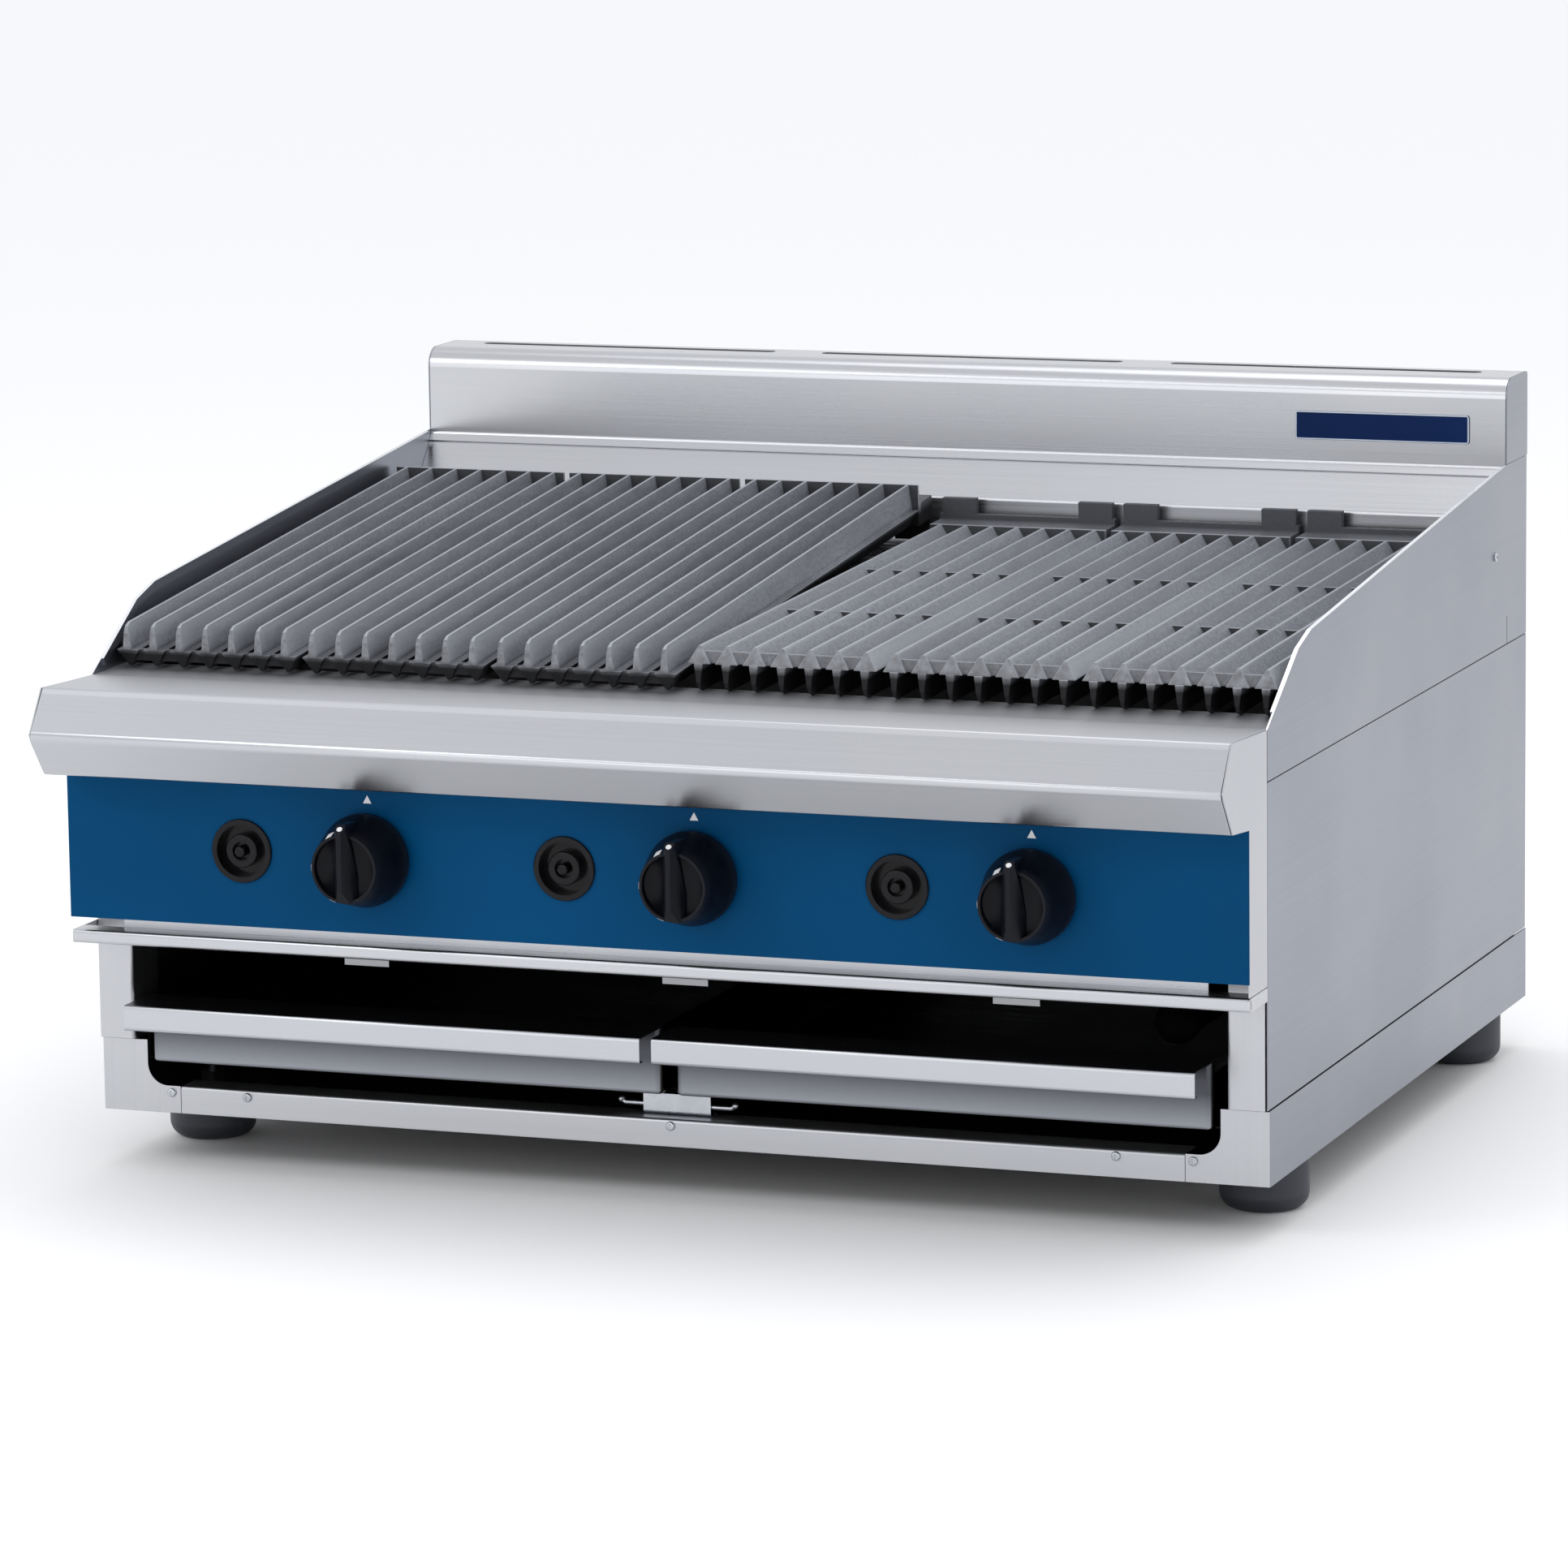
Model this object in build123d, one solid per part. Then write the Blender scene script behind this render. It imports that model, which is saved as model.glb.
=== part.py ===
from build123d import *
import os

os.makedirs("parts", exist_ok=True)

# Gas charbroiler, bench model, in millimetres. X runs across the front, Y from the
# front to the back, Z up from the bench. Y is measured here from the front edges of
# the side panels; save() then shifts each piece so the footprint is centred.

# Overall size
WIDTH = 900.0
NOSE = 106.0                  # how far the front rail stands out ahead of the side panels
REAR = 706.0                  # back edges of the side panels
HEIGHT = 534.7
SHIFT = (NOSE - REAR) / 2

# Sheet metal
T = 1.2
GAP = 0.2                     # between sheets that meet
BEND = 1.5                    # inside bend radius
HALF = WIDTH / 2
SKIN = HALF - T               # inner face of the side panels
INSIDE = SKIN - GAP           # half width of what fits between them

# Levels
FOOT_H = 40.0
BASE_TOP = 94.4
SIDE_BOTTOM = 95.6
SIDE_TOP = 328.8
WING_BOTTOM = 329.6
DECK = 366.8                  # deck of the front rail, where the grates start
LEDGE = 397.9                 # ledge at the back that carries the grates
RIM = 469.0                   # rear end of the wing rims

# Controls
PANEL_FACE = -44.6
PANEL_Z = (194.0, 302.5)
CONTROL_PITCH = 251.8
VALVE_X = [40.4 + CONTROL_PITCH * i for i in (-1, 0, 1)]
IGNITER_X = [x - 99.5 for x in VALVE_X]
VALVE_Z = 249.5
IGNITER_Z = 250.0
KNOB_BASE_R = 34.0
KNOB_RIM_R = 25.0
KNOB_RIM_Y = -90.0
KNOB_BACK_Y = -50.0
STEM_R = 4.0
PLUG_R = 8.0
RUNNING = 0.08                # radial clearance of parts that turn or slide in a bore

# Firebox and burners
BOX_X = 442.0
BOX_Y = (64.0, 582.0)
BOX_Z = (175.0, 364.0)
BURNER_X = [-298.0, 0.0, 298.0]
BURNER_Z = 262.0
PIPE_R = 13.4
PIPE_Y = 15.0
PIPE_Z = 225.0
INLET_X = 380.0
INLET_Z = 153.0

# Flue
FLUE_FRONT = 644.7
SLOT_X = [-292.0, 0.0, 292.0]
SLOT_Y = 688.0

# Grates: six alike castings on one pitch
GRATE_PITCH = 149.0
GRATE_X = [GRATE_PITCH * (i - 2.5) for i in range(6)]
GRATE_L = 565.0
GRATE_T = 33.0
BAR_PITCH = 21.14
BARS = 7

# Drip trays and feet
TRAY_Z = (78.0, 129.0)
TRAY_Y = (3.0, 640.0)
TRAY_W = 404.6
TRAY_X = {"left": -208.2, "right": 206.5}
FOOT_R = 32.5
FEET = [(x, y) for x in (-413.0, 413.0) for y in (114.0, 643.0)]

# Plane each outline is drawn on when it is run along an axis
PLANES = {"X": (Plane.YZ, 1), "Y": (Plane.XZ, -1), "Z": (Plane.XY, 1)}


def save(name, *solids):
    """Write one piece, or one set of alike pieces, to its own file."""
    shape = solids[0] if len(solids) == 1 else Compound(list(solids))
    export_step(Pos(0, SHIFT, 0) * shape, "parts/" + name + ".step")


def save_pair(name, right):
    """Write a right-hand piece and its mirror image."""
    save(name + "_right", right)
    save(name + "_left", mirror(right, about=Plane.YZ))


def box(x0, x1, y0, y1, z0, z1):
    """Block given by its limits."""
    block = Box(x1 - x0, y1 - y0, z1 - z0)
    return Pos((x0 + x1) / 2, (y0 + y1) / 2, (z0 + z1) / 2) * block


def rod(start, end, radius):
    """Round bar between two points."""
    way = Vector(*end) - Vector(*start)
    bar = Cylinder(radius, way.length, align=(Align.CENTER, Align.CENTER, Align.MIN))
    return Plane(origin=start, z_dir=way) * bar


def disc(x, z, radius, y0, y1):
    """Round bar lying front to back."""
    return rod((x, y0, z), (x, y1, z), radius)


def prism(points, low, high, along="X"):
    """Polygon run straight along one axis from low to high."""
    plane, sign = PLANES[along]
    with BuildPart() as block:
        with BuildSketch(plane.offset(sign * low)):
            Polygon(*points, align=None)
        extrude(amount=sign * (high - low))
    return block.part


def left_copy(points, distance):
    """The same path moved to the left of its own direction, mitred at the corners."""
    path = [Vector(*point) for point in points]
    ways = [(b - a).normalized() for a, b in zip(path, path[1:])]
    copy = []
    for point, before, after in zip(path, ways[:1] + ways, ways + ways[-1:]):
        normal = Vector(-before.Y, before.X)
        mitre = (normal + Vector(-after.Y, after.X)).normalized()
        copy.append(point + mitre * (distance / mitre.dot(normal)))
    return copy


def bent_sheet(points, low, high, along="X", thickness=T, bends=BEND):
    """Folded sheet: a path, thickened on its left, run along one axis.

    bends is the inside radius, or one radius for each corner of the path.
    """
    plane, sign = PLANES[along]
    corners = list(zip(points, points[1:], points[2:]))
    inside = bends if isinstance(bends, list) else [bends] * len(corners)
    near = []
    far = []
    for (a, b, c), radius in zip(corners, inside):
        turn = (b[0] - a[0]) * (c[1] - b[1]) - (b[1] - a[1]) * (c[0] - b[0])
        near.append(radius + thickness if turn > 0 else radius)
        far.append(radius if turn > 0 else radius + thickness)
    other = left_copy(points, thickness)
    with BuildPart() as sheet:
        with BuildSketch(plane.offset(sign * low)):
            with BuildLine():
                FilletPolyline(*points, radius=near)
                FilletPolyline(*other, radius=far)
                Line(points[0], other[0])
                Line(points[-1], other[-1])
            make_face()
        extrude(amount=sign * (high - low))
    return sheet.part


def hexagon(flats, z0, z1):
    """Hexagon nut blank standing on the Z axis."""
    return Pos(0, 0, z0) * extrude(RegularPolygon(flats / 2, 6, major_radius=False), z1 - z0)


def facing_front(x, z, blank):
    """Turn a blank that stands on Z to point to the front at (x, z)."""
    return Pos(x, 0, z) * Rot(X=90) * blank


# Flue: a folded cover with three slots in its top, closed by a plate at each end; its
# front is turned out at the bottom and laps the back plate
flue_path = [(REAR, RIM + 1), (REAR, HEIGHT), (FLUE_FRONT, HEIGHT)]
flue_path += [(FLUE_FRONT, 465.7), (640.1, 460.5)]
flue_cover = bent_sheet(flue_path, -INSIDE, INSIDE, bends=[2.0, 14.0, 4.0])
for slot_x in SLOT_X:
    slot = extrude(SlotOverall(252, 11), 5, both=True)
    flue_cover -= Pos(slot_x, SLOT_Y, HEIGHT) * slot
save("flue_cover", flue_cover)

cap = box(SKIN, HALF, FLUE_FRONT, REAR, RIM + GAP, HEIGHT)
cap = fillet(cap.edges().filter_by(Axis.X).group_by(Axis.Z)[-1].sort_by(Axis.Y)[0], 15.2)
cap = fillet(cap.edges().filter_by(Axis.X).group_by(Axis.Z)[-1].sort_by(Axis.Y)[-1], 3.2)
save_pair("flue_cap", cap)

badge = box(281, 420, FLUE_FRONT - 1.6, FLUE_FRONT - GAP, 484, 506)
save("badge_plate", fillet(badge.edges().filter_by(Axis.Y), 2))

# Sloping back plate of the cooking well; its ledge carries the rear of the grates
back_path = [(FLUE_FRONT, 463.5), (617, 432), (617, LEDGE), (584, LEDGE), (584, 385)]
save("back_plate", bent_sheet(back_path, -INSIDE, INSIDE, bends=[3.0, 3.0, 1.5]))

# Rear panel, set in from the back edges so the gas inlet stays inside the footprint
rear_panel = bent_sheet([(676, 42), (676, 455), (701, 467)], -INSIDE, INSIDE)
rear_panel -= disc(INLET_X, INLET_Z, PIPE_R + 2, 660, 690)
save("rear_panel", rear_panel)

# Wings: side plates of the cooking well with a hemmed, rising rim
rim = [(0, 366), (77, 411.6), (109, 420.6), (610, 466), (645, RIM), (REAR, RIM)]
wing = bent_sheet([(HALF, 0), (HALF, REAR), (430, REAR)], WING_BOTTOM, RIM, "Z")
wing &= prism(rim + [(REAR, WING_BOTTOM), (0, WING_BOTTOM)], 0, HALF)
hem_top = [(636, 468.1), (610, 466), (109, 420.6), (77, 411.6), (17, 376.1)]
wing += prism(hem_top + left_copy(hem_top, 7)[::-1], SKIN - 1.9, SKIN)
wing -= box(SKIN - 1, HALF + 1, 645.4, 646.6, WING_BOTTOM - 1, 351)
save_pair("wing", wing)

# Side panels below the wings, folded in at the back
side_path = [(HALF, 0), (HALF, REAR), (430, REAR)]
save_pair("side_panel", bent_sheet(side_path, SIDE_BOTTOM, SIDE_TOP, "Z"))

# Stiles: folded front posts between the side panels
stile_path = [(421, 40), (421, -3), (INSIDE, -3)]
save_pair("stile", bent_sheet(stile_path, SIDE_BOTTOM, 300, "Z"))

# Base: a tray-shaped plinth with a wide, round-cornered window at the front
save_pair("base_side", box(SKIN, HALF, 5, REAR, FOOT_H, BASE_TOP))
corner = box(388, HALF, 3.6, 3.6 + T, FOOT_H, BASE_TOP)
window = box(-414, 414, 0, 10, 60.5, 140)
window = fillet(window.edges().filter_by(Axis.Y).group_by(Axis.Z)[0], 16)
save_pair("base_corner", corner - window)
strip_path = [(30, 60.5), (3.6, 60.5), (3.6, FOOT_H)]
save("base_front_strip", bent_sheet(strip_path, -387.8, 387.8))

floor = box(-INSIDE, INSIDE, 5, REAR - 0.2, FOOT_H, FOOT_H + T)
for foot_x, foot_y in FEET:
    floor -= Pos(foot_x, foot_y, FOOT_H) * Cylinder(5.6, 6)
save("base_floor", floor)

# Front rail: deck, pointed nose and under-face in one folded sheet, with end plates
rail_path = [(62, 330), (62, DECK), (3, 366.5), (-83, 370)]
rail_path += [(-107.55, 337.6), (-83, 306), (-43.5, 303)]
save("front_rail", bent_sheet(rail_path, -INSIDE, INSIDE, bends=[1.5, 1.5, 1.5, 4.8, 1.5, 1.5]))
for side, low_edge, outer in (("right", 184.4, SKIN), ("left", 194, -HALF)):
    end_path = [(-0.8, 366), (-84, 370), (-105.8, 338.6), (-102.8, 332.6), (-82, 306)]
    end_path += [(-43.2, 302.5), (-43.2, low_edge), (-0.8, low_edge)]
    save("rail_end_" + side, prism(end_path, outer, outer + T))

# Control panel with holes for the valve stems and the igniters
panel = box(-HALF, HALF, PANEL_FACE, PANEL_FACE + T, *PANEL_Z)
for valve_x in VALVE_X:
    panel -= disc(valve_x, VALVE_Z, 7.5, -60, -30)
for igniter_x in IGNITER_X:
    panel -= disc(igniter_x, IGNITER_Z, 20.8, -60, -30)
save("control_panel", panel)

# Trim rail under the panel: a shelf with a lip in front, an end return at each side, an
# upstand behind the panel edge and three tabs that hang on arms behind the lip
trim = bent_sheet([(-24, 184), (-42.5, 184), (-42.5, 174), (-36, 174)], -HALF, HALF)
trim += box(-417, 414, -24, -24 + T, 182.8, 198)
for end_x in (-HALF, SKIN):
    trim += box(end_x, end_x + T, -40, -0.8, 174, 184)
for tab_x in (-233.5, 15, 265.5):
    trim += box(tab_x - 17.5, tab_x + 17.5, -25, -0.4, 182.8, 184)
    trim += box(tab_x - 17.5, tab_x + 17.5, -1.6, -0.4, 161, 184)
save("trim_rail", trim)

# Tray stop: a small bracket on the base with a round bar whose tips turn up
bracket = bent_sheet([(17, 76), (17, 60.7), (29, 60.7)], -26, 26)
save("tray_stop_bracket", bracket)
stop_rod = rod((-41, 20.4, 67.5), (41, 20.4, 67.5), 2)
for end in (-1, 1):
    stop_rod += rod((end * 41, 20.4, 67.5), (end * 44, 20.4, 69.5), 2)
    stop_rod += Pos(end * 41, 20.4, 67.5) * Sphere(2)
    stop_rod += Pos(end * 44, 20.4, 69.5) * Sphere(2.6)
save("tray_stop_rod", stop_rod)

# Runners the drip trays slide on: an angle at each side and a tee in the middle
angle_path = [(392, 76.4), (420.8, 76.4), (420.8, 112)]
right_angle = bent_sheet(angle_path, 20, 674.6, "Y")
tee = box(-20, 20, 31, 674.6, 76.4, 77.6) + box(-1, 1, 31, 674.6, FOOT_H + T + GAP, 76.4)
save("tray_runners", right_angle, mirror(right_angle, about=Plane.YZ), tee)

# Firebox liner: open box round the burners, with holes in its front wall for them
liner = box(-BOX_X, BOX_X, *BOX_Y, *BOX_Z)
liner -= box(T - BOX_X, BOX_X - T, BOX_Y[0] + T, BOX_Y[1] - T, BOX_Z[0] - 1, BOX_Z[1] + 1)
for burner_x in BURNER_X:
    liner -= disc(burner_x, BURNER_Z, 24, BOX_Y[0] - 5, BOX_Y[0] + 5)
save("firebox_liner", liner)


def burner(x):
    """Burner tube closed at the back, a flared mouth in front, ports along both sides."""
    tube = disc(x, BURNER_Z, 21, 130, 565) - disc(x, BURNER_Z, 19, 100, 562)
    throat = disc(x, BURNER_Z, 21, 124, 132) + disc(x, BURNER_Z, 15, 80, 126)
    mouth = Pos(x, 74, BURNER_Z) * Rot(X=-90) * Cone(20, 15, 16)
    bore = disc(x, BURNER_Z, 13, 60, 140)
    ports = []
    for i in range(20):
        port_y = 150 + 20.5 * i
        ports.append(Pos(x, port_y, BURNER_Z + 13) * Box(60, 2.4, 5))
    return tube + throat + mouth - bore - ports


save("burners", *[burner(x) for x in BURNER_X])

# Radiants: a folded roof under each grate, resting on two cross bars
radiant_y = (92.0, 556.0)
roof = [(-62, 302), (0, 346), (62, 302)]
radiants = []
for grate_x in GRATE_X:
    path = [(grate_x + x, z) for x, z in reversed(roof)]
    radiants.append(bent_sheet(path, *radiant_y, "Y", thickness=2.0))
save("radiants", *radiants)
rack = [rod((1.6 - BOX_X, y, 295), (BOX_X - 1.6, y, 295), 4) for y in (110, 538)]
save("radiant_rack", *rack)

# Gas manifold: pipe across the front, down and back under the firebox to the inlet
manifold = rod((-235, PIPE_Y, PIPE_Z), (INLET_X, PIPE_Y, PIPE_Z), PIPE_R)
manifold += rod((INLET_X, PIPE_Y, PIPE_Z), (INLET_X, PIPE_Y, INLET_Z), PIPE_R)
manifold += rod((INLET_X, PIPE_Y, INLET_Z), (INLET_X, 684, INLET_Z), PIPE_R)
manifold += rod((INLET_X, 684, INLET_Z), (INLET_X, 704, INLET_Z), 13.2)
for elbow_z in (PIPE_Z, INLET_Z):
    manifold += Pos(INLET_X, PIPE_Y, elbow_z) * Sphere(16.5)
manifold -= disc(INLET_X, INLET_Z, 10.6, 30, 710)
save("gas_manifold", manifold)

# Valves: a bored body on the manifold for each knob, with a tube on to its burner
valves = []
feeds = []
injectors = []
for valve_x, burner_x in zip(VALVE_X, BURNER_X):
    body = box(valve_x - 13, valve_x + 13, -28, 30, 239, 268)
    body += disc(valve_x, VALVE_Z, 12, -40, -28)
    body -= disc(valve_x, VALVE_Z, PLUG_R + RUNNING, -41, 18)
    valves.append(body)
    turns = [(valve_x, 30.4, VALVE_Z), (valve_x, 40, VALVE_Z)]
    turns += [(burner_x, 40, BURNER_Z), (burner_x, 49.6, BURNER_Z)]
    feed = rod(turns[0], turns[1], 4) + rod(turns[1], turns[2], 4) + rod(turns[2], turns[3], 4)
    for elbow in turns[1:3]:
        feed += Pos(*elbow) * Box(12, 12, 12)
    feeds.append(feed)
    injector = facing_front(burner_x, BURNER_Z, hexagon(14, -62, -50))
    injectors.append(injector - disc(burner_x, BURNER_Z, 1.2, 45, 70))
save("gas_valves", *valves)
save("feed_tubes", *feeds)
save("injectors", *injectors)
save("pilot_burners", *[disc(x + 32, 272, 5, 66, 100) for x in BURNER_X])

# Plug inside each valve, the stem that slides in it and the knob on the stem. The knob
# is a tapered drum with two scoops, which leave a ridge whose top end is the pointer
drum = rod((0, KNOB_BACK_Y, 0), (0, KNOB_BACK_Y - 6, 0), KNOB_BASE_R)
taper = Cone(KNOB_BASE_R, KNOB_RIM_R, KNOB_BACK_Y - 6 - KNOB_RIM_Y)
drum += Pos(0, (KNOB_BACK_Y - 6 + KNOB_RIM_Y) / 2, 0) * Rot(X=90) * taper
scoops = [Pos(x, KNOB_RIM_Y - 7, 0) * Cylinder(14.5, 80) for x in (-15.5, 15.5)]
knob = drum - (Part() + scoops & disc(0, 0, KNOB_RIM_R - 2, -110, -70))
flanks = [(-10, -72), (-9, -86), (-1.8, -98), (1.8, -98), (9, -86), (10, -72)]
ridge = prism(flanks, -KNOB_RIM_R + 1, 33, "Z")
plan = [(-3.2, 33), (3.2, 33), (6.5, 14), (9, -6), (9, -24), (-9, -24), (-9, -6), (-6.5, 14)]
ridge &= prism(plan, -99, -50, "Y")
pointer = [(-60, 31.5), (-92, 32.5), (-98, 27.5), (-98, -16), (-92, -24), (-60, -26)]
knob += ridge & prism(pointer, -12, 12)
knob -= disc(0, 0, 27, KNOB_BACK_Y - 12, KNOB_BACK_Y + 1)
knob += disc(0, 0, 9, KNOB_BACK_Y - 24, KNOB_BACK_Y)
knob -= disc(0, 0, STEM_R + 0.1, KNOB_BACK_Y - 14, KNOB_BACK_Y + 1)
plug = disc(0, 0, PLUG_R, -38, 15) - disc(0, 0, STEM_R + RUNNING, -39, -8)
plug -= rod((0, 4, -20), (0, 4, 20), 2.5)
stem = disc(0, 0, STEM_R, KNOB_BACK_Y - 13.5, -14)
for number, valve_x in enumerate(VALVE_X, start=1):
    save("knob_%d" % number, Pos(valve_x, 0, VALVE_Z) * knob)
    save("knob_stem_%d" % number, Pos(valve_x, 0, VALVE_Z) * stem)
    save("valve_plug_%d" % number, Pos(valve_x, 0, VALVE_Z) * plug)

# Igniters: a dished bezel in the panel, a threaded body and a push button
bezel = disc(0, 0, 23.5, -47, PANEL_FACE - GAP) + disc(0, 0, 20.4, -46, -36.6)
bezel = fillet(bezel.edges().group_by(Axis.Y)[0], 1.2)
bezel -= disc(0, 0, 19.2, -50, -37.8)
bezel -= disc(0, 0, 9.3, -40, -30)
body = disc(0, 0, 12.4, -46.5, -38) + disc(0, 0, 9, -40, 4)
body = fillet(body.edges().group_by(Axis.Y)[0], 1.5)
body -= disc(0, 0, 7, -50, -8)
body += facing_front(0, 0, hexagon(24, 31, 36.2)) - disc(0, 0, 8, -40, -30)
button = disc(0, 0, 4.2, -50.5, -40) + disc(0, 0, 7 - RUNNING, -41, -14)
button = fillet(button.edges().group_by(Axis.Y)[0], 2)
save("igniter_bezels", *[Pos(x, 0, IGNITER_Z) * bezel for x in IGNITER_X])
save("igniter_bodies", *[Pos(x, 0, IGNITER_Z) * body for x in IGNITER_X])
for number, igniter_x in enumerate(IGNITER_X, start=1):
    save("igniter_button_%d" % number, Pos(igniter_x, 0, IGNITER_Z) * button)

# Drip trays: pressed pans with a front flange turned down as the pull
for side, tray_x in TRAY_X.items():
    pan = box(tray_x - TRAY_W / 2, tray_x + TRAY_W / 2, *TRAY_Y, *TRAY_Z)
    pan = fillet(pan.edges().filter_by(Axis.Z), 5)
    pan = fillet(pan.edges().group_by(Axis.Z)[0], 3)
    pan = offset(pan, -T, openings=pan.faces().sort_by(Axis.Z)[-1])
    flange_path = [(TRAY_Y[0] + 0.8, TRAY_Z[1]), (-42, TRAY_Z[1]), (-42, 110), (-36, 110)]
    flange = bent_sheet(flange_path, tray_x - 202.8, tray_x + 202.8)
    save("drip_tray_" + side, pan + flange)


def grate():
    """Casting on its own axes: length from Y 0, fins down at Z 0, ridges up at GRATE_T."""
    fin = [(-3.3, 20), (-1.1, 0), (1.1, 0), (3.3, 20)]
    ridge = [(8.75, 20), (1.1, GRATE_T), (-1.1, GRATE_T), (-8.75, 20)]
    side = [(0, 7), (2, 2), (7, 0), (536, 0), (536, GRATE_T)]
    side += [(5.5, GRATE_T), (1, 20), (0, 20)]
    edge = 3.5 * BAR_PITCH - BAR_PITCH / 2 + 8.75
    bars = []
    for i in range(BARS):
        middle = BAR_PITCH * (i - (BARS - 1) / 2)
        outline = [(middle + x, z) for x, z in fin + ridge]
        bars.append(prism(outline, -1, 560, "Y"))
    casting = Part() + bars
    casting &= prism(side, -100, 100)
    for dam_y in (5.5, 175.5, 351):
        casting += box(-edge + 7, edge - 7, dam_y, dam_y + 3, 20, GRATE_T - 4)
    casting += box(-edge, edge, 533, 536, 0, GRATE_T)
    casting += box(-edge, edge, 533, 559, 15, GRATE_T)
    casting += box(-edge, edge, 559, GRATE_L, 15, 37.5)
    for lug_x in (-56, 56):
        casting += box(lug_x - 14, lug_x + 14, 559, GRATE_L, GRATE_T, 50)
    return casting


# The right three grates lie ridges up; the left three are turned over, fins up
casting = grate()
turned = Pos(0, 0, GRATE_T) * Rot(Y=180) * casting
for number, grate_x in enumerate(GRATE_X, start=1):
    if grate_x > 0:
        placed = Pos(grate_x, 44.5, 366.9) * Rot(X=1.75) * casting
    else:
        placed = Pos(grate_x, 35, 367.3) * Rot(X=5.2) * turned
    save("grate_%d" % number, placed)

# Feet: rounded pads, each on a threaded stud with a nut above the base floor
foot = Cylinder(FOOT_R, FOOT_H - GAP, align=(Align.CENTER, Align.CENTER, Align.MIN))
foot = fillet(foot.edges().group_by(Axis.Z)[0], 12)
foot -= Pos(0, 0, 15) * Cylinder(5.2, 30, align=(Align.CENTER, Align.CENTER, Align.MIN))
stud = rod((0, 0, 15.2), (0, 0, 66), 5) + hexagon(17, FOOT_H + T + GAP, 49.4)
save("feet", *[Pos(x, y, 0) * foot for x, y in FEET])
save("foot_studs", *[Pos(x, y, 0) * stud for x, y in FEET])

# Screws along the base front and the bolt through each wing
head = Cylinder(3.4, 2.0, align=(Align.CENTER, Align.CENTER, Align.MIN))
head = fillet(head.edges().group_by(Axis.Z)[-1], 1.2)
head -= Pos(0, 0, 2) * (Box(4, 0.9, 1.6) + Box(0.9, 4, 1.6))
screws = [Pos(x, 3.4, 55.5) * Rot(X=90) * head for x in (-395, -334, 0, 337, 394)]
bolt = Pos(HALF + 0.1, 609.5, 402) * Rot(Y=90) * head
save("screws", *screws, bolt, mirror(bolt, about=Plane.YZ))
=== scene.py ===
import math

import bmesh
import bpy
from mathutils import Matrix, Vector


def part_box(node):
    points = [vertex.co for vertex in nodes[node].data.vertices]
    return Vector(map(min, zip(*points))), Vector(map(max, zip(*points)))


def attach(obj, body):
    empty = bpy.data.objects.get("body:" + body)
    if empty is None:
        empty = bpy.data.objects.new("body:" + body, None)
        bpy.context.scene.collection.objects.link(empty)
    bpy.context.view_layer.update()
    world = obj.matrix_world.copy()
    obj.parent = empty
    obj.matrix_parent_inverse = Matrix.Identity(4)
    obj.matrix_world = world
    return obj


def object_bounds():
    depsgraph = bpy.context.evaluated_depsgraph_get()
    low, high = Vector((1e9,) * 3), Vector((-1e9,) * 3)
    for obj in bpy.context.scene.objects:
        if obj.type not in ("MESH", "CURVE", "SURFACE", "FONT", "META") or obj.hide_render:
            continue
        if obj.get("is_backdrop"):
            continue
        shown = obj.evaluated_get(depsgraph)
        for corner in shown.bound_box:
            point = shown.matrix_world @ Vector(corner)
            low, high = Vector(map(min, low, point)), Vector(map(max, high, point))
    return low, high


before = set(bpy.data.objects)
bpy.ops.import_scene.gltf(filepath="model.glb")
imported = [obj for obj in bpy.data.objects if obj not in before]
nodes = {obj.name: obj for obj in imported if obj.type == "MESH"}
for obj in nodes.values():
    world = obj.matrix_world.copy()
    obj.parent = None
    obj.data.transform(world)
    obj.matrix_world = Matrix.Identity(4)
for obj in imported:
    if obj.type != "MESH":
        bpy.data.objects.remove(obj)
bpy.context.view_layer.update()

scene = bpy.context.scene
scene.view_settings.view_transform = "Standard"


def pair(name):
    """Names of the left and the right node of a kind."""
    return [name + "_left", name + "_right"]


def numbered(name, *numbers):
    """Names of the numbered nodes of a kind."""
    return ["%s_%d" % (name, number) for number in numbers]


# ---------------------------------------------------------------- materials

def srgb(r, g, b):
    """8-bit display colour to a linear RGBA colour."""
    def linear(v):
        v /= 255
        return v / 12.92 if v <= 0.04045 else ((v + 0.055) / 1.055) ** 2.4
    return (linear(r), linear(g), linear(b), 1)


def shade(tone, *factors):
    """Colour darkened or lightened by one factor, or by one for each channel."""
    each = factors if len(factors) == 3 else factors * 3
    return tuple(min(1, c * f) for c, f in zip(tone[:3], each)) + (1,)


EVEN = (1, 1, 1)


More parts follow.
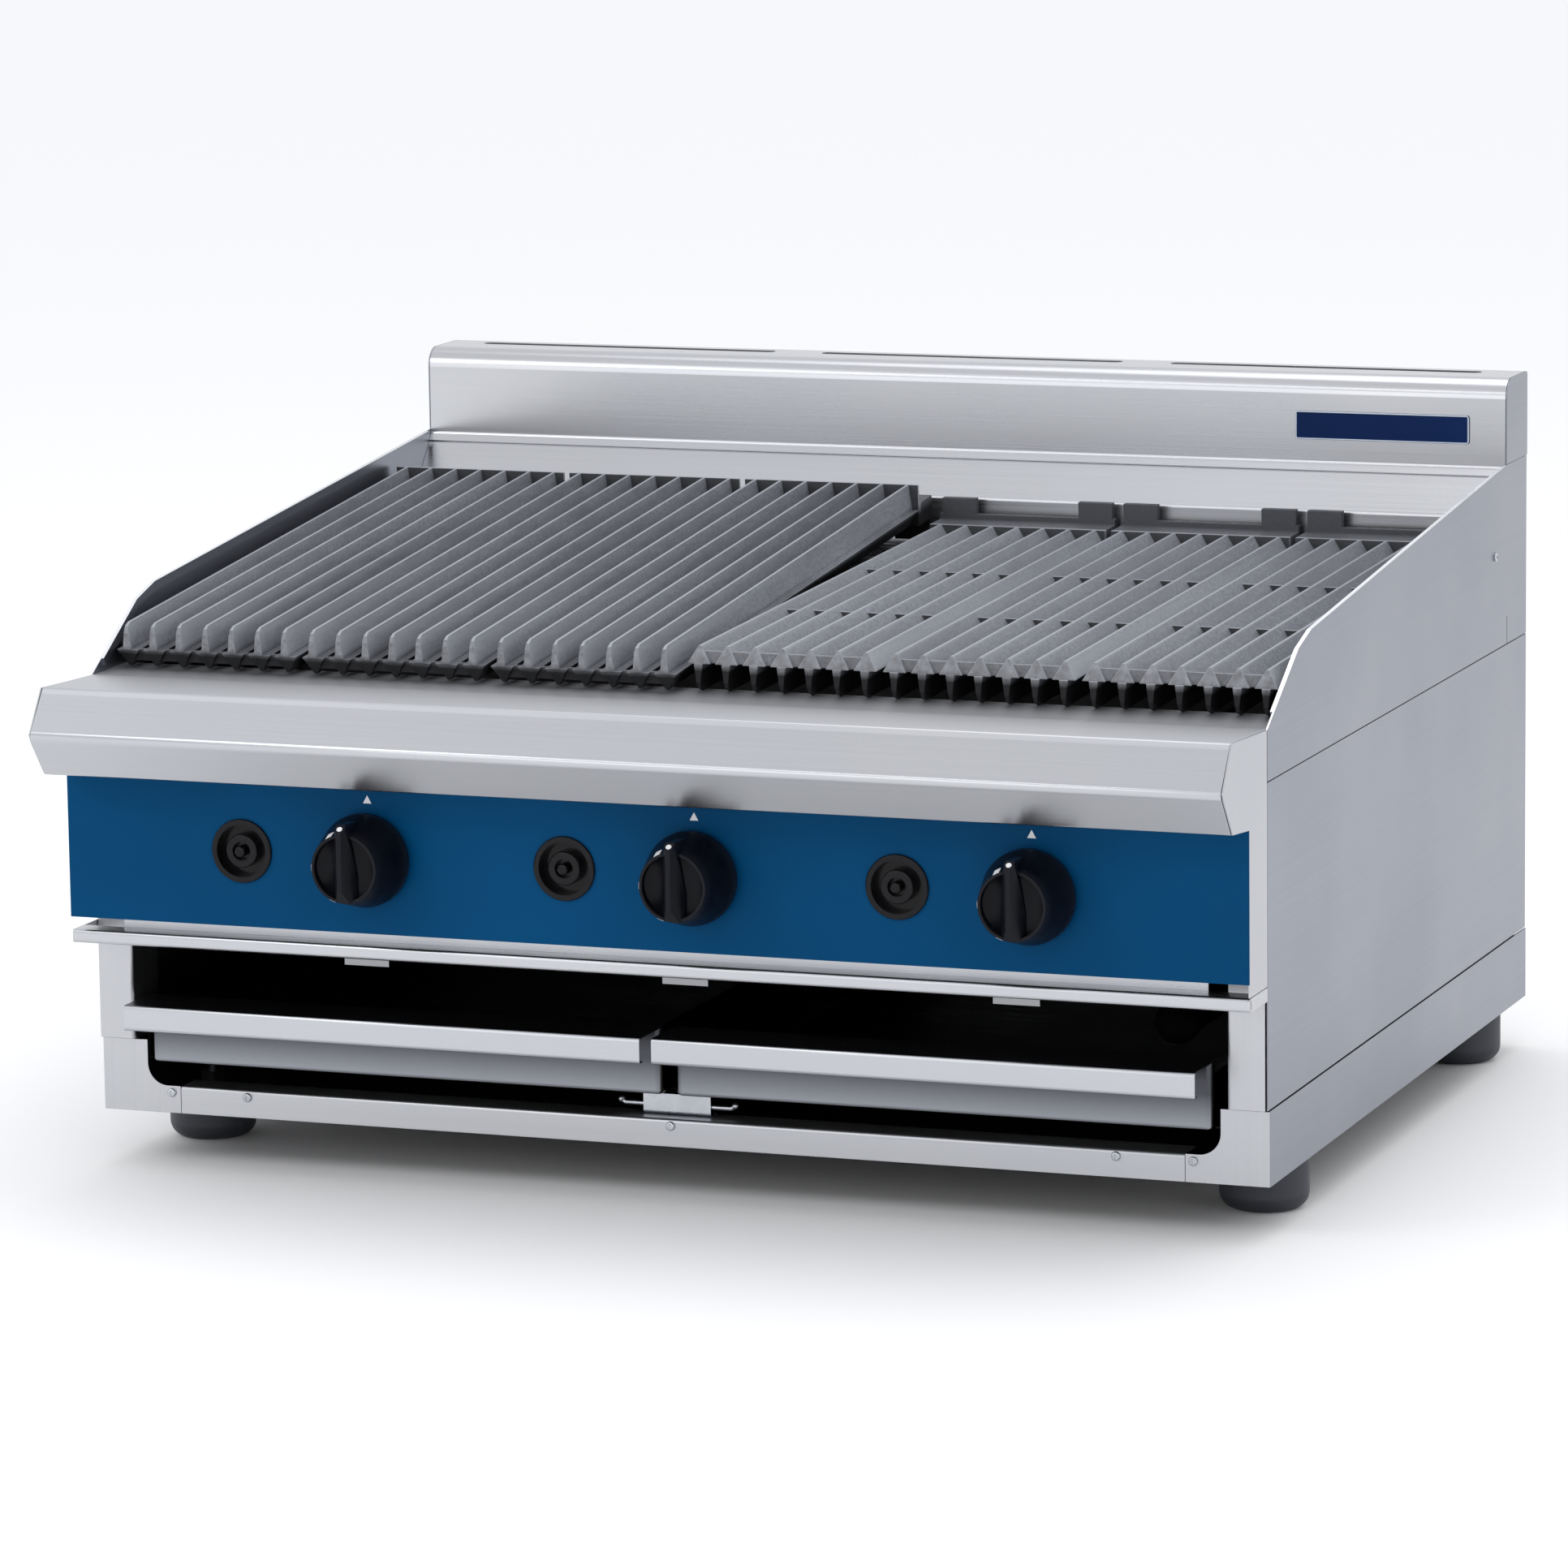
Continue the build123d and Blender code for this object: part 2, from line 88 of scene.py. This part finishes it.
class Surface:
    """A material whose colour, roughness and bump come from noise in object space."""

    def __init__(self, name, metallic, specular=0.5):
        self.material = bpy.data.materials.new(name)
        self.material.use_nodes = True
        self.tree = self.material.node_tree
        self.shader = self.tree.nodes["Principled BSDF"]
        self.shader.inputs["Metallic"].default_value = metallic
        self.shader.inputs["Specular IOR Level"].default_value = specular
        self.coords = self.node("ShaderNodeTexCoord").outputs["Object"]
        self.height = None

    def node(self, kind, **inputs):
        made = self.tree.nodes.new(kind)
        for name, value in inputs.items():
            made.inputs[name.replace("_", " ")].default_value = value
        return made

    def link(self, output, target):
        self.tree.links.new(output, target)

    def noise(self, scale, stretch, detail, rough=0.6):
        """Noise value, stretched along the axes by the given factors."""
        mapping = self.node("ShaderNodeMapping")
        mapping.inputs["Scale"].default_value = stretch
        self.link(self.coords, mapping.inputs["Vector"])
        texture = self.node("ShaderNodeTexNoise", Scale=scale, Detail=detail, Roughness=rough)
        self.link(mapping.outputs["Vector"], texture.inputs["Vector"])
        return texture.outputs["Fac"]

    def scaled(self, value, low, high, start=0.3, stop=0.7):
        """Value mapped from start..stop to low..high and kept within them."""
        ramp = self.node("ShaderNodeMapRange")
        ramp.inputs["From Min"].default_value = start
        ramp.inputs["From Max"].default_value = stop
        ramp.inputs["To Min"].default_value = low
        ramp.inputs["To Max"].default_value = high
        self.link(value, ramp.inputs["Value"])
        return ramp.outputs["Result"]

    def mixed(self, factor, first, second):
        """Colour between first and second by factor; each is a colour or an output."""
        mix = self.tree.nodes.new("ShaderNodeMix")
        mix.data_type = "RGBA"
        self.link(factor, mix.inputs["Factor"])
        for socket, colour in ((mix.inputs[6], first), (mix.inputs[7], second)):
            if isinstance(colour, tuple):
                socket.default_value = colour
            else:
                self.link(colour, socket)
        return mix.outputs[2]

    def math(self, kind, first, second):
        """Arithmetic on two values; each is a number or an output."""
        step = self.node("ShaderNodeMath")
        step.operation = kind
        for socket, value in zip(step.inputs, (first, second)):
            if isinstance(value, (int, float)):
                socket.default_value = value
            else:
                self.link(value, socket)
        return step.outputs[0]

    def split(self, vector):
        """X, Y and Z of a vector output."""
        parts = self.node("ShaderNodeSeparateXYZ")
        self.link(vector, parts.inputs[0])
        return parts.outputs

    def place(self):
        """X, Y and Z of the point on the object, in metres."""
        return self.split(self.coords)

    def facing(self):
        """X, Y and Z of the direction the face points in."""
        return self.split(self.node("ShaderNodeNewGeometry").outputs["True Normal"])

    def colour(self, output):
        self.link(output, self.shader.inputs["Base Color"])

    def roughness(self, output):
        self.link(output, self.shader.inputs["Roughness"])

    def bump(self, value, strength, distance):
        """Adds a layer of bump on top of the layers so far."""
        layer = self.node("ShaderNodeBump", Strength=strength, Distance=distance)
        self.link(value, layer.inputs["Height"])
        if self.height is not None:
            self.link(self.height, layer.inputs["Normal"])
        self.height = layer.outputs["Normal"]
        self.link(self.height, self.shader.inputs["Normal"])

    def worn_edges(self, base, worn, low=0.51, high=0.56):
        """Colour that turns to the worn one along sharp convex edges."""
        point = self.node("ShaderNodeNewGeometry").outputs["Pointiness"]
        return self.mixed(self.scaled(point, 0, 1, low, high), base, worn)


GRAIN_ALONG, GRAIN_ACROSS, BROAD_ACROSS = 1.5, 420, 60   # noise cells per metre


def brushed_steel(name, tone, rough, grain):
    """Steel with fine lines along the axis grain, broad waves and cloudy patches."""
    steel = Surface(name, 1.0)
    fine = tuple(GRAIN_ALONG if axis == grain else GRAIN_ACROSS for axis in "XYZ")
    wide = tuple(GRAIN_ALONG if axis == grain else BROAD_ACROSS for axis in "XYZ")
    lines = steel.noise(1, fine, 3, 0.7)
    broad = steel.noise(1, wide, 2)
    clouds = steel.noise(4, EVEN, 3)
    streaks = steel.mixed(steel.scaled(lines, 0, 1, 0.2, 0.8), shade(tone, 0.94),
                          shade(tone, 1.03))
    cooler = shade(tone, 0.94, 0.955, 0.98)
    steel.tone = steel.mixed(steel.scaled(clouds, 0, 0.6), streaks, cooler)
    steel.colour(steel.tone)
    fine_rough = steel.scaled(lines, rough - 0.03, rough + 0.03)
    steel.roughness(steel.math("ADD", fine_rough, steel.scaled(clouds, -0.03, 0.05)))
    steel.bump(lines, 0.06, 0.0002)
    steel.bump(broad, 0.015, 0.0004)
    return steel


def toned_bands(steel, *bands):
    """Changes a steel's tone along an axis: bands of (axis, from, to, colour)."""
    where = steel.place()
    for axis, start, stop, tone in bands:
        fade = steel.scaled(where["XYZ".index(axis)], 0, 1, start, stop)
        steel.tone = steel.mixed(fade, steel.tone, tone)
    steel.colour(steel.tone)
    return steel.material


def top_highlight(steel, tone):
    """Painted highlight: a lighter tone on the cut or folded edges that face up, as if lit
    from above.
    """
    lit_from_above = steel.scaled(steel.facing()[2], 0, 1, 0.3, 0.5)
    steel.tone = steel.mixed(lit_from_above, steel.tone, tone)
    steel.colour(steel.tone)
    return steel.material


IRON = srgb(142, 145, 152)
IRON_RUBBED = srgb(166, 169, 175)
# Painted shade on the grates' front ends and cross dams; the darkest tone is also the soot on
# the rear lugs, and the near black is soot with painted shade under the grate.
IRON_TIP_SHADE = srgb(98, 98, 99)
IRON_BAR = srgb(84, 86, 91)
IRON_SHADE_AND_SOOT = srgb(66, 67, 71)
SOOT_AND_SHADE = srgb(20, 20, 22)


def cast_iron(name, front, bottom, tilt, dark_height):
    """Ground and seasoned casting: pitted skin, darker grease patches, lighter edges.

    front and bottom are the Y and Z of the grate's front lower edge, and tilt is the
    angle in degrees at which its underside rises to the back. Up to the height dark_height
    above the underside it is black: soot, with painted shade under the grate. The front
    ends and the cross dams are darker as painted shade; the rear bar and its lugs are
    darker with soot.
    """
    iron = Surface(name, 0.1, 0.3)
    pits = iron.noise(900, EVEN, 3)
    skin = iron.noise(170, (1, 0.25, 1), 4)
    patches = iron.noise(14, (1, 0.35, 1), 4)
    speckle = iron.noise(380, (1, 0.6, 1), 4, 0.8)
    dark = shade(IRON, 0.72)
    base = iron.mixed(iron.scaled(patches, 0, 1, 0.35, 0.65), dark, IRON)
    base = iron.mixed(iron.scaled(skin, 0, 0.35), base, IRON_RUBBED)
    base = iron.mixed(iron.scaled(speckle, 0, 0.75, 0.44, 0.6), base, dark)
    base = iron.worn_edges(base, IRON_RUBBED, 0.515, 0.58)
    _, y, z = iron.place()
    along = iron.math("SUBTRACT", y, front)
    # Painted shade: faces that look to the front are darkened, at the front ends and on the
    # cross dams.
    to_front = iron.scaled(iron.facing()[1], 1, 0, -0.9, -0.7)
    tip_shade = iron.math("MULTIPLY", to_front, iron.scaled(skin, 0.25, 0.85))
    dams = iron.math("MULTIPLY", to_front, iron.scaled(along, 0, 1, 0.02, 0.03))
    rear_bar = iron.scaled(along, 0, 1, 0.5335, 0.5365)
    lugs = iron.scaled(along, 0, 1, 0.556, 0.5585)
    for mask, tone in ((tip_shade, IRON_TIP_SHADE), (dams, IRON_SHADE_AND_SOOT), (rear_bar, IRON_BAR),
                       (lugs, IRON_SHADE_AND_SOOT)):
        base = iron.mixed(mask, base, tone)
    # Soot and painted shade: the iron is black up to a height over its underside, which rises
    # to the back with the tilt.
    rise = iron.math("MULTIPLY", along, math.tan(math.radians(tilt)))
    height = iron.math("SUBTRACT", iron.math("SUBTRACT", z, bottom), rise)
    uneven = iron.math("ADD", height, iron.scaled(patches, -0.0015, 0.0015))
    above_black = iron.scaled(uneven, 0, 1, dark_height - 0.004, dark_height + 0.003)
    iron.colour(iron.mixed(above_black, SOOT_AND_SHADE, base))
    iron.roughness(iron.scaled(skin, 0.42, 0.62))
    iron.bump(pits, 0.4, 0.0005)
    iron.bump(skin, 0.4, 0.0009)
    return iron.material


def paint(name, tone, rough, peel, specular=0.1):
    """Smooth coating with a faint orange peel and uneven depth of colour."""
    coating = Surface(name, 0.0, specular)
    ripple = coating.noise(420, EVEN, 2)
    clouds = coating.noise(3, EVEN, 3)
    depth = coating.scaled(clouds, 0, 1, 0.35, 0.65)
    coating.colour(coating.mixed(depth, tone, shade(tone, 0.84)))
    coating.roughness(coating.scaled(clouds, rough - 0.04, rough + 0.05))
    coating.bump(ripple, peel, 0.0003)
    return coating.material


def moulded(name, tone, rough, grain, specular=0.5):
    """Moulded plastic or rubber: fine leathery grain and slightly rubbed edges."""
    plastic = Surface(name, 0.0, specular)
    fine = plastic.noise(1500, EVEN, 2)
    clouds = plastic.noise(40, EVEN, 3)
    lighter = tuple(c * 1.7 + 0.004 for c in tone[:3]) + (1,)
    base = plastic.mixed(plastic.scaled(clouds, 0, 0.45), tone, lighter)
    plastic.colour(plastic.worn_edges(base, lighter))
    plastic.roughness(plastic.scaled(clouds, rough - 0.05, rough + 0.07))
    plastic.bump(fine, grain, 0.0002)
    return plastic.material


def machined(name, tone, rough, metallic=1.0, spots=0.5, specular=0.5):
    """Plated and drawn metal, and metal darkened with soot and painted shade, with cloudy
    staining, dark by up to spots.
    """
    metal = Surface(name, metallic, specular)
    stain = metal.noise(28, EVEN, 4)
    fine = metal.noise(700, EVEN, 2)
    metal.colour(metal.mixed(metal.scaled(stain, 0, spots, 0.4, 0.7), tone,
                             shade(tone, 0.55)))
    metal.roughness(metal.scaled(stain, rough - 0.06, rough + 0.12))
    metal.bump(fine, 0.12, 0.0002)
    return metal.material


STEEL = srgb(190, 191, 194)
POLISHED = srgb(193, 194, 197)
TRAY_PALE = srgb(200, 202, 206)
# Painted shade: the same steel as the front, darker on the sides, side pieces, flue caps and
# wings, which are turned from the light.
SIDE_STEEL_SHADE = srgb(150, 153, 161)
# Painted highlight for the upward-facing edges of the wings.
TOP_HIGHLIGHT_TONE = srgb(238, 239, 241)
TRIM_LOWER = srgb(150, 151, 154)
# Painted shade on the drip tray: its front wall behind the lip, the top of that wall under
# the lip, and its inside.
TRAY_FRONT_SHADE = srgb(146, 149, 155)
TRAY_WALL_SHADE = srgb(80, 82, 87)
TRAY_LIP = srgb(190, 192, 196)
TRAY_INSIDE_SHADE = srgb(50, 49, 48)

steel_x = brushed_steel("steel_grain_across", STEEL, 0.34, "X").material
bright_x = brushed_steel("steel_polished_across", POLISHED, 0.25, "X").material
back_x = brushed_steel("steel_back_plate", STEEL, 0.28, "X").material
# Painted shade: the side steel is a darker copy of the front steel.
steel_y = brushed_steel("steel_grain_back", SIDE_STEEL_SHADE, 0.36, "Y").material
# Painted highlight on the wings' upward-facing edges.
wing_y = top_highlight(brushed_steel("steel_wing", SIDE_STEEL_SHADE, 0.36, "Y"), TOP_HIGHLIGHT_TONE)
steel_z = brushed_steel("steel_grain_up", STEEL, 0.33, "Z").material
trim_x = toned_bands(brushed_steel("steel_trim", POLISHED, 0.27, "X"),
                 ("Z", 0.1738, 0.1732, TRIM_LOWER))
# Painted shade on the drip tray: the front wall behind the lip is darker than the lip, darker
# still towards the top under the lip, and the inside is near black.
tray_steel = toned_bands(brushed_steel("tray_steel", TRAY_PALE, 0.3, "X"),
                     ("Y", -0.3412, -0.3402, TRAY_FRONT_SHADE),
                     ("Z", 0.08, 0.104, TRAY_WALL_SHADE),
                     ("Y", -0.3402, -0.3412, TRAY_LIP),
                     ("Y", -0.2962, -0.2955, TRAY_INSIDE_SHADE))

# The rail's nose and underside are smooth; its deck, above this height, is satin.
rail_surface = brushed_steel("steel_front_rail", POLISHED, 0.25, "X")
rail_height = rail_surface.place()[2]
rail_surface.roughness(rail_surface.scaled(rail_height, 0.25, 0.46, 0.3655, 0.3668))
rail = rail_surface.material

# The last number is the height of the black underside: soot with painted shade.
iron_up = cast_iron("cast_grate", -0.2555, 0.3669, 1.75, 0.019)
iron_turned = cast_iron("cast_grate_turned", -0.265, 0.3673, 5.2, 0.0135)
blue = paint("blue_enamel", srgb(0, 68, 111), 0.38, 0.06, 0.05)
badge_blue = paint("badge_enamel", srgb(6, 36, 84), 0.3, 0.02)
white_mark = paint("white_mark", srgb(240, 241, 242), 0.45, 0.02)
knob_black = moulded("knob_black", srgb(7, 8, 14), 0.3, 0.1, 0.12)
bezel_black = moulded("bezel_black", srgb(5, 5, 8), 0.16, 0.05, 0.2)
foot_black = moulded("foot_black", srgb(32, 35, 42), 0.5, 0.3)
# Soot with painted shade: the parts inside the firebox and the base are near black, as the
# shaded inside of the cabinet.
interior_soot_shade = machined("sooted_steel_painted_shade", srgb(30, 29, 29), 0.65, 0.5, 0.8)
# Painted shade: the gas pipes are near black with almost no gloss, sunk into the shade behind
# the trim.
pipe_in_shade = machined("black_pipe", srgb(4, 4, 5), 0.8, 0.0, specular=0.02)
brass = machined("brass", srgb(188, 152, 84), 0.32)
zinc = machined("zinc_plate", srgb(190, 193, 198), 0.26, spots=0.3)
dull_zinc = machined("dull_zinc", srgb(120, 122, 126), 0.4, spots=0.6)
edge_silver = machined("badge_border", srgb(196, 206, 220), 0.25, spots=0.2)

LOOKS = {
    steel_x: ["base_front_strip", "rear_panel"],
    bright_x: ["flue_cover"],
    back_x: ["back_plate"],
    rail: ["front_rail"],
    trim_x: ["trim_rail"],
    wing_y: pair("wing"),
    steel_y: pair("side_panel") + pair("base_side") + pair("flue_cap"),
    steel_z: pair("rail_end") + pair("stile") + pair("base_corner"),
    tray_steel: pair("drip_tray"),
    blue: ["control_panel"],
    badge_blue: ["badge_plate"],
    iron_turned: numbered("grate", 1, 2, 3),
    iron_up: numbered("grate", 4, 5, 6),
    knob_black: numbered("knob", 1, 2, 3),
    bezel_black: ["igniter_bezels", "igniter_bodies"] + numbered("igniter_button", 1, 2, 3),
    foot_black: ["feet"],
    interior_soot_shade: ["firebox_liner", "burners", "radiants", "radiant_rack", "tray_runners",
            "pilot_burners", "base_floor"],
    pipe_in_shade: ["gas_manifold", "feed_tubes"],
    brass: ["gas_valves", "injectors"] + numbered("valve_plug", 1, 2, 3),
    zinc: ["tray_stop_rod", "tray_stop_bracket", "screws"] + numbered("knob_stem", 1, 2, 3),
    dull_zinc: ["foot_studs"],
}
for material, names in LOOKS.items():
    for name in names:
        mesh = nodes[name].data
        mesh.materials.clear()
        mesh.materials.append(material)


# ------------------------------------------------- softened edges on CAD nodes

CAST_EDGE, SHEET_EDGE = 0.0009, 0.0004


def soften(name, width):
    """Rounds a CAD node's sharp edges slightly, as pressed and cast edges are."""
    node = nodes[name]
    weld = node.modifiers.new("weld", "WELD")
    weld.merge_threshold = 0.00002
    flat = node.modifiers.new("flat", "DECIMATE")
    flat.decimate_type = "DISSOLVE"
    flat.angle_limit = math.radians(0.6)
    bevel = node.modifiers.new("bevel", "BEVEL")
    bevel.width = width
    bevel.segments = 2
    bevel.limit_method = "ANGLE"
    bevel.angle_limit = math.radians(32)
    bevel.harden_normals = True


for name in numbered("grate", 1, 2, 3, 4, 5, 6):
    soften(name, CAST_EDGE)
for name in (["front_rail", "control_panel", "base_front_strip", "trim_rail"]
             + pair("drip_tray") + pair("wing") + pair("side_panel") + pair("stile")
             + pair("base_corner") + pair("rail_end") + pair("flue_cap")):
    soften(name, SHEET_EDGE)


# ------------------------------------------------------------- small pieces

def add_piece(name, mesh_data, material, body):
    """Puts a finished bmesh into the scene as one piece of the object."""
    mesh = bpy.data.meshes.new(name)
    mesh_data.to_mesh(mesh)
    mesh_data.free()
    mesh.materials.append(material)
    piece = bpy.data.objects.new(name, mesh)
    scene.collection.objects.link(piece)
    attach(piece, body)


PRINT_EDGE = 0.00012


def raised(outline, face_y, thickness):
    """A thin printed or inlaid shape: X-Z outline standing out from face_y to the front."""
    shape = bmesh.new()
    ring = [shape.verts.new((x, face_y, z)) for x, z in outline]
    face = shape.faces.new(ring)
    bmesh.ops.recalc_face_normals(shape, faces=[face])
    moved = bmesh.ops.extrude_face_region(shape, geom=[face])
    fresh = [v for v in moved["geom"] if isinstance(v, bmesh.types.BMVert)]
    bmesh.ops.translate(shape, verts=fresh, vec=(0, -thickness, 0))
    bmesh.ops.recalc_face_normals(shape, faces=shape.faces[:])
    front = [e for e in shape.edges if all(v in fresh for v in e.verts)]
    bmesh.ops.bevel(shape, geom=front, offset=PRINT_EDGE, segments=2,
                    affect="EDGES")
    return shape


DOT_RADIUS, DOT_THICKNESS, DOT_CORNERS = 0.0021, 0.0004, 20


def dot_outline():
    """Circle of the knob's dot, around the origin."""
    turns = [2 * math.pi * i / DOT_CORNERS for i in range(DOT_CORNERS)]
    return [(DOT_RADIUS * math.cos(a), DOT_RADIUS * math.sin(a)) for a in turns]


KNOB_BASE, KNOB_RIM = (0.034, -0.356), (0.025, -0.390)   # radius and Y of the taper's ends
MARK_ANGLES = (27, 90, 158)
MARK_SPREAD, MARK_LIFT = 11, 0.0002
MARK_STEPS = (0.76, 0.84, 0.92, 0.985)                   # along the taper, base to rim
MARK_TURNS = 6


def cone_mark(x, z, angle):
    """A thin mark that follows a knob's taper, at an angle from the top to the left."""
    shape = bmesh.new()
    layers = []
    for out in (-MARK_LIFT, MARK_LIFT):
        grid = []
        for i in range(MARK_TURNS + 1):
            turn = math.radians(angle + MARK_SPREAD * (i / MARK_TURNS - 0.5))
            row = []
            for along in MARK_STEPS:
                radius = KNOB_BASE[0] + (KNOB_RIM[0] - KNOB_BASE[0]) * along + out
                y = KNOB_BASE[1] + (KNOB_RIM[1] - KNOB_BASE[1]) * along
                row.append(shape.verts.new((x - radius * math.sin(turn), y,
                                            z + radius * math.cos(turn))))
            grid.append(row)
        layers.append(grid)
    last = len(MARK_STEPS) - 1
    for grid in layers:
        for a, b in zip(grid, grid[1:]):
            for j in range(last):
                shape.faces.new((a[j], a[j + 1], b[j + 1], b[j]))
    inner, outer = layers
    for i in range(MARK_TURNS):
        for j in (0, last):
            shape.faces.new((inner[i][j], inner[i + 1][j], outer[i + 1][j], outer[i][j]))
    for j in range(last):
        for i in (0, MARK_TURNS):
            shape.faces.new((inner[i][j], inner[i][j + 1], outer[i][j + 1], outer[i][j]))
    bmesh.ops.recalc_face_normals(shape, faces=shape.faces[:])
    return shape


BORDER_WIDTH, BORDER_THICKNESS, BORDER_CORNER = 0.0011, 0.0007, 0.002
# Section of the border: share of its width inwards, share of its thickness outwards.
BORDER_SECTION = ((0, 0), (0, 0.7), (0.3, 1), (0.7, 1), (1, 0.7), (1, 0))
CORNER_POINTS = 5


def border_outline(low, high, inset):
    """Rounded rectangle of a box's X-Z extent, moved in by inset."""
    corner = BORDER_CORNER
    points = []
    for x, z, start in ((high.x - corner, high.z - corner, 0),
                        (low.x + corner, high.z - corner, 90),
                        (low.x + corner, low.z + corner, 180),
                        (high.x - corner, low.z + corner, 270)):
        for i in range(CORNER_POINTS):
            a = math.radians(start + 90 / (CORNER_POINTS - 1) * i)
            points.append((x + (corner - inset) * math.cos(a),
                           z + (corner - inset) * math.sin(a)))
    return points


def border_ring(low, high, face_y):
    """Raised border with rounded corners around a box, standing out from face_y."""
    shape = bmesh.new()
    loops = []
    for inset, out in BORDER_SECTION:
        loops.append([shape.verts.new((x, face_y - BORDER_THICKNESS * out, z))
                      for x, z in border_outline(low, high, inset * BORDER_WIDTH)])
    for a, b in zip(loops, loops[1:] + loops[:1]):
        for i in range(len(a)):
            j = (i + 1) % len(a)
            shape.faces.new((a[i], a[j], b[j], b[i]))
    bmesh.ops.recalc_face_normals(shape, faces=shape.faces[:])
    return shape


SUNK = 0.0001                                # prints start this far below their face
DOT_Y, DOT_UP, DOT_LEAN = -0.3951, 0.0299, -50   # on the slope of the knob's ridge
ARROW_HALF, ARROW_LOW, ARROW_TOP, ARROW_THICKNESS = 0.0033, 0.2897, 0.2956, 0.00035

panel_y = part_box("control_panel")[0].y
for number in (1, 2, 3):
    knob = "knob_%d" % number
    low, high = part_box("knob_%d" % number)
    x = (low.x + high.x) / 2
    z = (low.z + high.z) / 2
    dot = raised(dot_outline(), 0, DOT_THICKNESS)
    dot.transform(Matrix.Translation((x, DOT_Y, z + DOT_UP))
                  @ Matrix.Rotation(math.radians(DOT_LEAN), 4, "X"))
    add_piece("knob_dot_%d" % number, dot, white_mark, knob)
    for i, angle in enumerate(MARK_ANGLES, start=1):
        mark = cone_mark(x, z, angle)
        add_piece("knob_mark_%d_%d" % (number, i), mark, white_mark, knob)
    arrow = [(x - ARROW_HALF, ARROW_LOW), (x + ARROW_HALF, ARROW_LOW), (x, ARROW_TOP)]
    mark = raised(arrow, panel_y + SUNK, ARROW_THICKNESS)
    add_piece("index_mark_%d" % number, mark, white_mark, "cabinet")

low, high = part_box("badge_plate")
border = border_ring(low, high, low.y + SUNK)
add_piece("badge_border", border, edge_silver, "cabinet")


# ---------------------------------------------------------------- the stage

FLOOR_HALF = 30
FLOOR_WHITE = (0.97, 0.97, 0.97, 1)
SKY_WHITE = (0.955, 0.965, 0.99, 1)

floor_mesh = bmesh.new()
bmesh.ops.create_grid(floor_mesh, x_segments=2, y_segments=2, size=FLOOR_HALF)
floor_data = bpy.data.meshes.new("floor")
floor_mesh.to_mesh(floor_data)
floor_mesh.free()
floor = bpy.data.objects.new("floor", floor_data)
floor_look = Surface("floor_paper", 0.0, 0.2)
floor_look.shader.inputs["Base Color"].default_value = FLOOR_WHITE
floor_look.shader.inputs["Roughness"].default_value = 0.7
floor_data.materials.append(floor_look.material)
scene.collection.objects.link(floor)
floor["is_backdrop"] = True

world = bpy.data.worlds.new("studio")
scene.world = world
world.use_nodes = True
sky = world.node_tree.nodes["Background"]
sky.inputs["Color"].default_value = SKY_WHITE
sky.inputs["Strength"].default_value = 1.0


def soft_light(name, place, aim, width, height, power):
    """Rectangular softbox that points at aim; power is in watts."""
    light = bpy.data.lights.new(name, "AREA")
    light.shape = "RECTANGLE"
    light.size = width
    light.size_y = height
    light.energy = power
    lamp = bpy.data.objects.new(name, light)
    lamp.location = place
    lamp.rotation_euler = (Vector(aim) - Vector(place)).to_track_quat("-Z", "Y").to_euler()
    scene.collection.objects.link(lamp)


soft_light("key_left", (-2.6, -2.8, 2.6), (0, 0, 0.25), 1.6, 1.6, 17)
soft_light("overhead", (0.4, 0.6, 3.2), (0, 0, 0.3), 3.0, 2.4, 26)
soft_light("front_fill", (-0.6, -4.8, 1.2), (0, 0, 0.3), 4.2, 1.6, 18)
soft_light("strip_front", (-0.8, -3.4, 2.6), (0, 0, 0.4), 4.2, 0.25, 10)

# --------------------------------------------------------------- the camera

# Solved from the photograph's parallel edges: a long lens, looking down and rolled.
PHOTO_PIXELS = 1932
FOCAL_PIXELS = 9258
SENSOR = 36
CAMERA_PLACE = (1.925, -5.231, 1.230)
AZIMUTH = math.radians(20.39)
ELEVATION = math.radians(9.91)
ROLL = math.radians(-0.78)
forward = Vector((-math.sin(AZIMUTH) * math.cos(ELEVATION),
                  math.cos(AZIMUTH) * math.cos(ELEVATION), -math.sin(ELEVATION)))
level = Vector((math.cos(AZIMUTH), math.sin(AZIMUTH), 0))
up = level.cross(forward)
right = level * math.cos(ROLL) + up * math.sin(ROLL)
top = up * math.cos(ROLL) - level * math.sin(ROLL)
camera_data = bpy.data.cameras.new("camera")
camera_data.sensor_width = SENSOR
camera_data.lens = SENSOR * FOCAL_PIXELS / PHOTO_PIXELS
camera_data.clip_end = 100
camera = bpy.data.objects.new("camera", camera_data)
axes = Matrix((right, top, -forward)).transposed()
camera.matrix_world = Matrix.Translation(CAMERA_PLACE) @ axes.to_4x4()
scene.collection.objects.link(camera)
scene.camera = camera

low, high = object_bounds()
